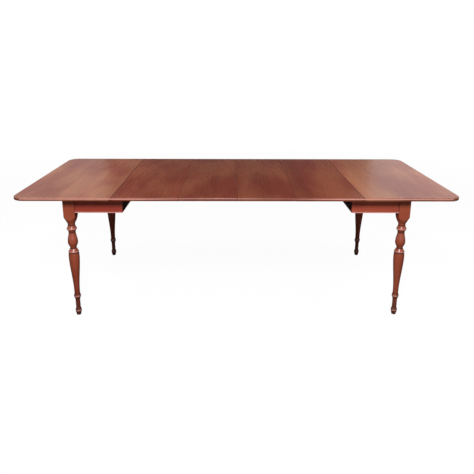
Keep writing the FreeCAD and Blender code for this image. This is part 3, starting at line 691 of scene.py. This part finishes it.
def plated_steel(name, colour):
    """Zinc-plated steel, a little clouded and scratched."""
    material, tree, shader = new_material(name)
    place = object_place(tree)
    cloud = noise(tree, place, CLOUD_CELLS, detail=4.0, roughness=0.6)
    scratch = noise(tree, place, SCRATCH_CELLS, detail=2.0, roughness=0.5)
    clear = spread(tree, cloud, *CLOUD_ONSET)
    surface = mixed(tree, clear, shaded(colour, CLOUD_SHADE), colour)
    scratched = spread(tree, scratch, *SCRATCH_ONSET, 0.0, SCRATCH_STRENGTH)
    surface = mixed(tree, scratched, surface, shaded(colour, SCRATCH_SHADE))
    fill(tree, shader.inputs["Base Color"], surface)
    shader.inputs["Metallic"].default_value = 1.0
    dull = spread(tree, cloud, *ROUGHNESS_ONSET, *CLOUD_ROUGHNESS)
    fill(tree, shader.inputs["Roughness"], dull)
    return material


def moulded_nylon(name, colour):
    """Dark nylon, scuffed by the floor."""
    material, tree, shader = new_material(name)
    scuff = noise(tree, object_place(tree), SCUFF_CELLS, roughness=0.6)
    scuffed = spread(tree, scuff, *SCUFF_ONSET, 0.0, SCUFF_STRENGTH)
    surface = mixed(tree, scuffed, colour, shaded(colour, SCUFF_SHADE))
    fill(tree, shader.inputs["Base Color"], surface)
    dull = spread(tree, scuff, *ROUGHNESS_ONSET, *SCUFF_ROUGHNESS)
    fill(tree, shader.inputs["Roughness"], dull)
    return material


# Pieces

def dress(names, material):
    """Gives CAD nodes a material."""
    for name in names:
        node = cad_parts[name]
        for slot in node.material_slots:
            slot.material = material


def middle(name):
    """The middle of a CAD node's box."""
    low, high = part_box(name)
    return (low + high) / 2


def ends(piece):
    """A piece's names at the left and at the right."""
    return [side + "_" + piece for side in SIDES]


def ends_and_sides(piece):
    """A piece's names at the four corners."""
    return [side + "_" + end + "_" + piece for side in SIDES for end in ENDS]


class TABLE_OT_groups(bpy.types.Operator):
    """Builds the node groups that the woods share."""

    bl_idname = "table.groups"
    bl_label = "Wood groups"

    def execute(self, context):
        make_figure_group()
        make_strips_group()
        return {"FINISHED"}


class TABLE_OT_top(bpy.types.Operator):
    """Dresses the six boards of the top."""

    bl_idname = "table.top"
    bl_label = "Top boards"

    def execute(self, context):
        looks = context.scene.table_looks
        # Painted shade in the seams between the boards and along the back and side edges, and a
        # painted highlight along the front edge
        hinge_seam = bands("X", [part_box("right_drop_leaf")[0].x], *HINGE_SEAM_SHADE)
        leaf_edges = [corner.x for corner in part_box("right_extension_leaf")]
        inner_seams = bands("X", leaf_edges, *INNER_SEAM_SHADE)
        darkening = overlaid(hinge_seam, inner_seams, painted_edge_shade)
        for name, (strips, drift) in BOARD_DRAWS.items():
            # The drop leaves take their colour painted paler, as painted light
            colour = looks.leaf_colour_with_painted_light if "drop_leaf" in name else looks.top_colour
            centre = middle(name) + Vector((START_STEP * (strips % START_STEPS), 0, 0))
            wood = lacquered(
                name + " cherry", colour, ALONG_Y, centre, looks.top_shine, drift,
                darkening, painted_edge_highlight, strips,
            )
            dress([name], wood)
        return {"FINISHED"}


class TABLE_OT_legs(bpy.types.Operator):
    """Dresses the four turned legs."""

    bl_idname = "table.legs"
    bl_label = "Legs"

    def execute(self, context):
        looks = context.scene.table_looks
        # Painted shade in the grooves, and the legs darker towards the floor
        darkening = overlaid(bands("Z", LEG_QUIRKS, *QUIRK_SHADE), darker_towards_floor)
        # Painted highlights on the rings and the cap
        painted_highlight = overlaid(bands("Z", LEG_CRESTS, *CREST_HIGHLIGHT), bands("Z", LEG_CAP, *CAP_HIGHLIGHT))
        for draw, name in zip(LEG_DRAWS, ends_and_sides("leg")):
            centre = middle(name) + Vector((LEG_HEART.x, LEG_HEART.y, LEG_HEART.z * draw))
            wood = lacquered(
                name + " cherry", looks.leg_colour, ALONG_Z, centre, looks.frame_shine, draw,
                darkening, painted_highlight,
            )
            dress([name], wood)
        return {"FINISHED"}


class TABLE_OT_frames(bpy.types.Operator):
    """Dresses the aprons, end rails and cross rails of the leg frames."""

    bl_idname = "table.frames"
    bl_label = "Aprons and rails"

    def execute(self, context):
        looks = context.scene.table_looks
        # Painted shade where the legs meet the aprons
        darkening = bands("X", [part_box("right_front_leg")[0].x], *LEG_JOINT_SHADE)
        # A painted reflection, pale, along the aprons' low edges
        painted_highlight = bands("Z", [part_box("left_front_apron")[0].z], *LOW_EDGE_HIGHLIGHT)
        names = ends_and_sides("apron") + ends("end_rail") + ends("cross_rail")
        for draw, name in enumerate(names):
            # The cross rails take a colour darkened as painted shade
            colour = looks.rail_colour_with_painted_shade if "cross_rail" in name else looks.frame_colour
            grain, heart = (ALONG_X, APRON_HEART) if "apron" in name else (ALONG_Y, RAIL_HEART)
            wood = lacquered(
                name + " cherry", colour, grain, middle(name) + heart, looks.frame_shine, draw,
                darkening, painted_highlight,
            )
            dress([name], wood)
        return {"FINISHED"}


class TABLE_OT_slides(bpy.types.Operator):
    """Dresses the slides, blocks and pins of bare hardwood."""

    bl_idname = "table.slides"
    bl_label = "Slides and blocks"

    def execute(self, context):
        colour = context.scene.table_looks.bare_colour
        rails = [end + "_centre_rail" for end in ENDS]
        rails += ends_and_sides("top_rail") + ends_and_sides("runner")
        for name in rails:
            heart = middle(name) + SLIDE_HEART
            dress([name], bare_wood(name + " maple", colour, ALONG_X, heart))
        dress(["crossbars"], bare_wood("crossbar maple", colour, ALONG_Y, CROSSBAR_HEART))
        blocks = ends("corner_blocks") + ends("glue_blocks")
        dress(blocks, bare_wood("block maple", colour, ALONG_Z, BLOCK_HEART))
        pins = ends("table_pins") + ["extension_leaf_pins"]
        dress(pins, bare_wood("pin birch", colour, ALONG_X, PIN_HEART))
        return {"FINISHED"}


class TABLE_OT_hardware(bpy.types.Operator):
    """Dresses the hinges, screws, bolts, nuts and stop pins."""

    bl_idname = "table.hardware"
    bl_label = "Hardware"

    def execute(self, context):
        colour = context.scene.table_looks.steel_colour
        plates = ends("hinge_top_plates") + ends("hinge_leaf_plates") + ends("hinge_pins")
        dress(plates, plated_steel("hinge steel", colour))
        screws = ends("hinge_top_screws") + ends("hinge_leaf_screws") + ends("top_rail_screws")
        screws += ends("frame_screws") + ["crossbar_screws"]
        dress(screws, plated_steel("screw steel", shaded(colour, SCREW_SHADE)))
        rest = ends("hanger_bolts") + ends("hanger_nuts")
        rest += ends("runner_stop_pins") + ["centre_stop_pins"]
        dress(rest, plated_steel("bolt steel", shaded(colour, BOLT_SHADE)))
        return {"FINISHED"}


class TABLE_OT_glides(bpy.types.Operator):
    """Dresses the glides under the feet."""

    bl_idname = "table.glides"
    bl_label = "Glides"

    def execute(self, context):
        colour = context.scene.table_looks.glide_colour
        dress(ends("foot_glides"), moulded_nylon("glide nylon", colour))
        return {"FINISHED"}


# Stage

def new_object(name, data):
    """An object linked into the scene."""
    thing = bpy.data.objects.new(name, data)
    bpy.context.scene.collection.objects.link(thing)
    return thing


def new_sheet(name, shape, material):
    """An object in the scene, its mesh taken from a bmesh."""
    mesh = bpy.data.meshes.new(name)
    shape.to_mesh(mesh)
    shape.free()
    mesh.materials.append(material)
    return new_object(name, mesh)


def seen_directly(tree):
    """1 for rays from the camera and for reflected and refracted ones, else 0."""
    path = tree.nodes.new("ShaderNodeLightPath").outputs
    rays = ("Is Camera Ray", "Is Glossy Ray", "Is Transmission Ray")
    return strongest(tree, [path[ray] for ray in rays])


def floor_paper():
    """Matt paper that glows where it is seen, so that it looks white and still takes a shadow."""
    material, tree, shader = new_material("floor paper")
    seen = seen_directly(tree)
    colour = mixed(tree, seen, PAPER_UNSEEN, PAPER_SEEN)
    fill(tree, shader.inputs["Base Color"], colour)
    shader.inputs["Roughness"].default_value = PAPER_ROUGHNESS
    shader.inputs["Specular IOR Level"].default_value = 0.0
    glow = tree.nodes.new("ShaderNodeEmission")
    away = vector_maths(tree, "LENGTH", object_place(tree))
    level = spread(tree, away, *GLOW_DISTANCES, *GLOW_LEVELS)
    fill(tree, glow.inputs["Strength"], level)
    blend = tree.nodes.new("ShaderNodeMixShader")
    output = [n for n in tree.nodes if n.type == "OUTPUT_MATERIAL"][0]
    fill(tree, blend.inputs["Fac"], maths(tree, "MULTIPLY", seen, GLOW_SHARE))
    tree.links.new(shader.outputs["BSDF"], blend.inputs[1])
    tree.links.new(glow.outputs["Emission"], blend.inputs[2])
    tree.links.new(blend.outputs["Shader"], output.inputs["Surface"])
    return material


def make_floor(radius):
    """The round floor, on which the table's shadow falls."""
    shape = bmesh.new()
    bmesh.ops.create_circle(shape, cap_ends=True, radius=radius, segments=FLOOR_SIDES)
    floor = new_sheet("floor", shape, floor_paper())
    floor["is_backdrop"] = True


def make_background(fill_level):
    """A world that is white where it is seen, and lights the table from all round."""
    world = bpy.data.worlds.new("studio")
    world.use_nodes = True
    tree = world.node_tree
    back = tree.nodes["Background"]
    back.inputs["Color"].default_value = (1, 1, 1, 1)
    strength = maths(tree, "MAXIMUM", seen_directly(tree), fill_level)
    tree.links.new(strength, back.inputs["Strength"])
    bpy.context.scene.world = world


def make_card(name, centre, size, tilt, glow):
    """A dark or grey card that only reflections see, so that the top mirrors it."""
    material, tree, shader = new_material(name + " cloth")
    shader.inputs["Base Color"].default_value = CARD_COLOUR
    shader.inputs["Roughness"].default_value = 1.0
    shader.inputs["Specular IOR Level"].default_value = 0.0
    shader.inputs["Emission Color"].default_value = (1, 1, 1, 1)
    shader.inputs["Emission Strength"].default_value = glow
    shape = bmesh.new()
    turn = Matrix.Rotation(tilt, 4, "X")
    place = Matrix.Translation(centre) @ turn @ Matrix.Diagonal((*size, 1, 1))
    bmesh.ops.create_grid(shape, x_segments=1, y_segments=1, size=0.5, matrix=place)
    sheet = new_sheet(name, shape, material)
    sheet.visible_camera = False
    sheet.visible_diffuse = False
    sheet.visible_transmission = False
    sheet.visible_shadow = False
    sheet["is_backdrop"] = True


def make_light(name, power, place, target, size):
    """A soft rectangular light turned to a place."""
    data = bpy.data.lights.new(name, "AREA")
    data.shape = "RECTANGLE"
    data.size, data.size_y = size
    data.energy = power
    light = new_object(name, data)
    light.location = place
    light.rotation_euler = (Vector(target) - Vector(place)).to_track_quat("-Z", "Y").to_euler()
    light.visible_camera = False


def make_camera(lens):
    """The camera, where and as the photo was taken."""
    camera = new_object("camera", bpy.data.cameras.new("camera"))
    camera.data.sensor_width = SENSOR_MILLIMETRES
    camera.data.lens = lens
    camera.data.shift_y = CAMERA_SHIFT
    turn = Matrix.Rotation(-CAMERA_TURN, 4, "Z")
    tip = Matrix.Rotation(math.pi / 2 - CAMERA_TIP, 4, "X")
    roll = Matrix.Rotation(CAMERA_ROLL, 4, "Z")
    camera.matrix_world = Matrix.Translation(CAMERA_PLACE) @ turn @ tip @ roll
    bpy.context.scene.camera = camera


class TABLE_OT_stage(bpy.types.Operator):
    """Makes the floor, the background, the cards, the lights and the camera."""

    bl_idname = "table.stage"
    bl_label = "Studio"

    def execute(self, context):
        looks = context.scene.studio_looks
        make_floor(looks.floor_radius)
        make_background(looks.fill_level)
        for name, values in CARDS.items():
            make_card(name, *values)
        make_light("key light", looks.key_power, *KEY_LIGHT)
        make_light("front light", looks.front_power, *FRONT_LIGHT)
        for share, values in zip(END_SHARES, END_LIGHTS):
            make_light("end light", looks.end_power * share, *values)
        make_camera(looks.lens)
        context.scene.view_settings.view_transform = "Standard"
        return {"FINISHED"}


class TABLE_PT_panel(bpy.types.Panel):
    """Lists the table's looks and steps in the sidebar."""

    bl_idname = "TABLE_PT_panel"
    bl_label = "Extension table"
    bl_space_type = "VIEW_3D"
    bl_region_type = "UI"
    bl_category = "Table"

    def draw(self, context):
        for group in (context.scene.table_looks, context.scene.studio_looks):
            for name in group.__annotations__:
                self.layout.prop(group, name)
        for step in STEPS:
            self.layout.operator(step.bl_idname)


STEPS = (
    TABLE_OT_groups,
    TABLE_OT_top,
    TABLE_OT_legs,
    TABLE_OT_frames,
    TABLE_OT_slides,
    TABLE_OT_hardware,
    TABLE_OT_glides,
    TABLE_OT_stage,
)
CLASSES = (TableLooks, StudioLooks) + STEPS + (TABLE_PT_panel,)


def register():
    for item in CLASSES:
        bpy.utils.register_class(item)
    bpy.types.Scene.table_looks = PointerProperty(type=TableLooks)
    bpy.types.Scene.studio_looks = PointerProperty(type=StudioLooks)


def unregister():
    del bpy.types.Scene.studio_looks
    del bpy.types.Scene.table_looks
    for item in reversed(CLASSES):
        bpy.utils.unregister_class(item)


def main():
    """Dresses the table and sets the stage."""
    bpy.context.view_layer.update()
    register()
    bpy.ops.table.groups()
    bpy.ops.table.top()
    bpy.ops.table.legs()
    bpy.ops.table.frames()
    bpy.ops.table.slides()
    bpy.ops.table.hardware()
    bpy.ops.table.glides()
    bpy.ops.table.stage()


if __name__ == "__main__":
    main()
